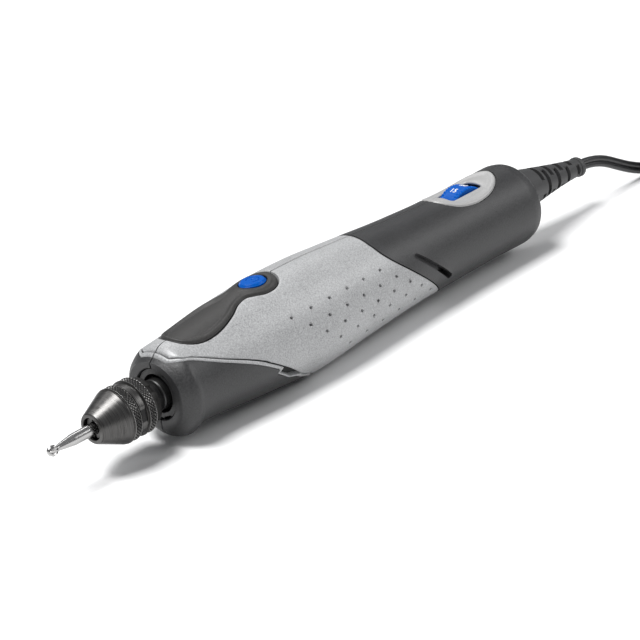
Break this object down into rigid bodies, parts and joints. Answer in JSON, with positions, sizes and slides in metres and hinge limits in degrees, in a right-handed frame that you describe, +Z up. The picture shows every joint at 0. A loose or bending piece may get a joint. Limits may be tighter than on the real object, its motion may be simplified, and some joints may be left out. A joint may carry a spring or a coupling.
{
  "type": "rotary hobby tool",
  "caption": "Pen-shaped corded rotary tool with a knurled keyless chuck, ball burr, thumb pad with spindle lock, speed dial, strain relief and coiled low-voltage lead.",
  "frame": {"origin": "middle of the tool's box, without its lead, on the surface that it rests on", "axes": "+Y along the spindle axis from the burr towards the strain relief, +Z up through the thumb pad and the speed dial, +X to the tool's left side"},
  "size_m": [0.0492, 0.3138, 0.0309],
  "materials": {
    "dark_plastic": "fine moulded texture",
    "silver_plastic": "satin metallic paint",
    "pad_rubber": "soft matte",
    "blue_plastic": "satin",
    "bezel_plastic": "satin",
    "black_oxide": "turned and blackened",
    "bright_steel": "ground",
    "bearing_steel": "ground",
    "zinc_plate": "zinc plated",
    "copper": "drawn",
    "carbon": "pressed carbon or black resin",
    "ferrite": "sintered",
    "laminated_iron": "stamped sheets",
    "nylon": "moulded",
    "circuit_green": "solder mask",
    "red_wire": "smooth insulation",
    "black_wire": "smooth insulation",
    "relief_rubber": "moulded matte",
    "cord_vinyl": "satin vinyl",
    "nickel": "nickel plated"
  },
  "bodies": {
    "tool_body": {"front_bearing": "bearing_steel", "rear_bearing": "bearing_steel", "nose_ring": "dark_plastic", "motor_can": "zinc_plate", "motor_end_cap": "nylon", "magnet_left": "ferrite", "magnet_right": "ferrite", "brush_left": "carbon", "brush_right": "carbon", "terminal_left": "copper", "terminal_right": "copper", "lock_spring": "bright_steel", "housing_left": "dark_plastic", "housing_right": "dark_plastic", "cover_left": "silver_plastic", "cover_right": "silver_plastic", "thumb_pad": "pad_rubber", "dial_bezel": "bezel_plastic", "housing_screw_1": "zinc_plate", "housing_screw_2": "zinc_plate", "housing_screw_3": "zinc_plate", "housing_screw_4": "zinc_plate", "speed_potentiometer": "circuit_green", "circuit_board": "circuit_green", "capacitor": "carbon", "drive_transistor": "carbon", "terminal_block": "nylon", "motor_wire_red": "red_wire", "motor_wire_black": "black_wire", "supply_wire_red": "red_wire", "supply_wire_black": "black_wire", "cord_clamp": "nylon", "clamp_screw_left": "zinc_plate", "clamp_screw_right": "zinc_plate", "inner_lead": "cord_vinyl", "strain_relief": "relief_rubber", "power_cord": "cord_vinyl", "power_cord_tail": "cord_vinyl", "power_cord_coil": "cord_vinyl", "cord_tie": "black_wire", "cord_plug": "relief_rubber", "plug_barrel": "nickel"},
    "spindle_assembly": {"spindle": "bearing_steel", "chuck_body": "black_oxide", "lock_collar": "bearing_steel", "drive_coupling": "nylon", "armature": "laminated_iron", "commutator": "copper", "ball_burr": "bright_steel"},
    "sleeve": {"chuck_sleeve": "black_oxide"},
    "jaw_1": {"chuck_jaw_1": "black_oxide"},
    "jaw_2": {"chuck_jaw_2": "black_oxide"},
    "jaw_3": {"chuck_jaw_3": "black_oxide"},
    "jaw_4": {"chuck_jaw_4": "black_oxide"},
    "lock_button": {"lock_button": "blue_plastic", "lock_pin": "bright_steel"},
    "dial": {"speed_dial": "blue_plastic"}
  },
  "joints": [
    {"name": "spindle_spin", "type": "hinge", "parent": "tool_body", "child": "spindle_assembly", "pos_m": [0, 0, 0.0142], "axis": [0, 1, 0], "continuous": true},
    {"name": "chuck_sleeve_turn", "type": "hinge", "parent": "spindle_assembly", "child": "sleeve", "pos_m": [0, -0.08785, 0.0142], "axis": [0, -1, 0], "range_deg": [0, 360]},
    {"name": "jaw_1_slide", "type": "slide", "parent": "spindle_assembly", "child": "jaw_1", "axis": [0.2067, 0.9563, 0.2067], "range_m": [0, 0.0012]},
    {"name": "jaw_2_slide", "type": "slide", "parent": "spindle_assembly", "child": "jaw_2", "axis": [0.2067, 0.9563, -0.2067], "range_m": [0, 0.0012]},
    {"name": "jaw_3_slide", "type": "slide", "parent": "spindle_assembly", "child": "jaw_3", "axis": [-0.2067, 0.9563, -0.2067], "range_m": [0, 0.0012]},
    {"name": "jaw_4_slide", "type": "slide", "parent": "spindle_assembly", "child": "jaw_4", "axis": [-0.2067, 0.9563, 0.2067], "range_m": [0, 0.0012]},
    {"name": "lock_button_press", "type": "slide", "parent": "tool_body", "child": "lock_button", "axis": [0, 0, -1], "range_m": [0, 0.0016], "stiffness_N_per_m": 200, "springref_m": -0.003},
    {"name": "speed_dial_turn", "type": "hinge", "parent": "tool_body", "child": "dial", "pos_m": [0, 0.05295, 0.0183], "axis": [1, 0, 0], "range_deg": [-150, 110]}
  ],
  "couplings": [
    {"joint": "jaw_1_slide", "follows": "chuck_sleeve_turn", "m_per_rad": 0.00019},
    {"joint": "jaw_2_slide", "follows": "chuck_sleeve_turn", "m_per_rad": 0.00019},
    {"joint": "jaw_3_slide", "follows": "chuck_sleeve_turn", "m_per_rad": 0.00019},
    {"joint": "jaw_4_slide", "follows": "chuck_sleeve_turn", "m_per_rad": 0.00019}
  ]
}
